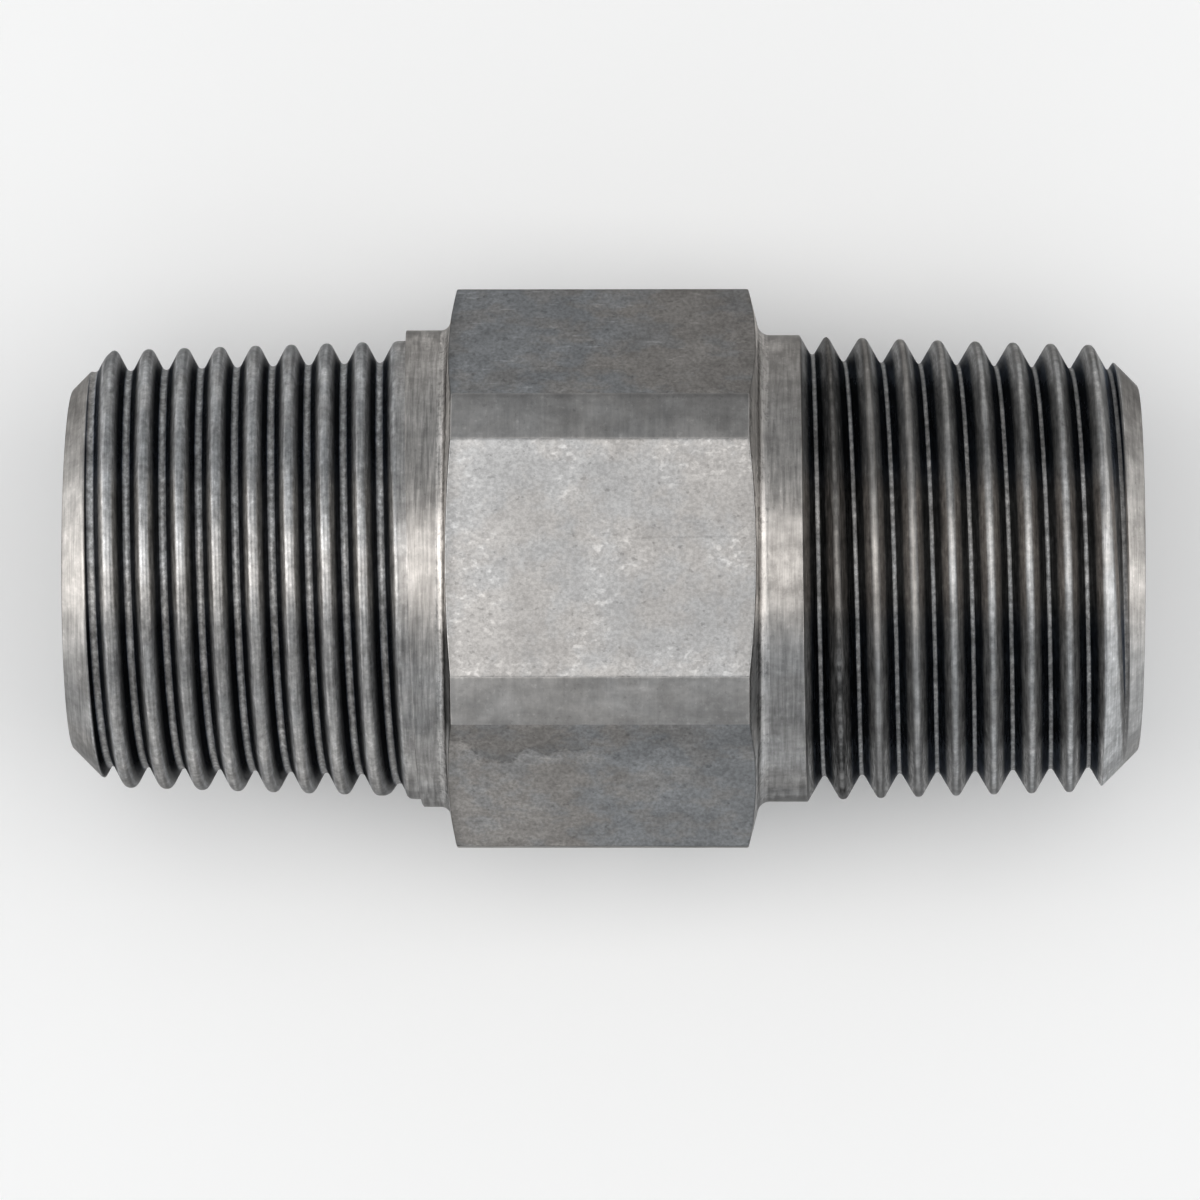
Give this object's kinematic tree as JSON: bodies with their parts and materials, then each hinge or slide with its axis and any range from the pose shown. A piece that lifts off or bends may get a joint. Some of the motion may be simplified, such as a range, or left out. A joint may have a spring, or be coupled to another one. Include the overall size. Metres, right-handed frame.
{
  "type": "male pipe adapter",
  "caption": "Steel hexagon nipple with a bore right through: a tapered 55-degree pipe thread on one end and a tapered 60-degree pipe thread on the other, for joining female pipe ports.",
  "frame": {"origin": "on the axis of the bore, halfway between the two end faces", "axes": "+X along the axis towards the 60-degree thread, +Z square to the flat of the hexagon that faces up when the adapter lies down, +Y across two corners of the hexagon"},
  "size_m": [0.04, 0.021, 0.019],
  "materials": {
    "steel": "bare turned and drawn steel, lightly oiled"
  },
  "bodies": {
    "root": {"adapter_body": "steel"}
  },
  "joints": []
}
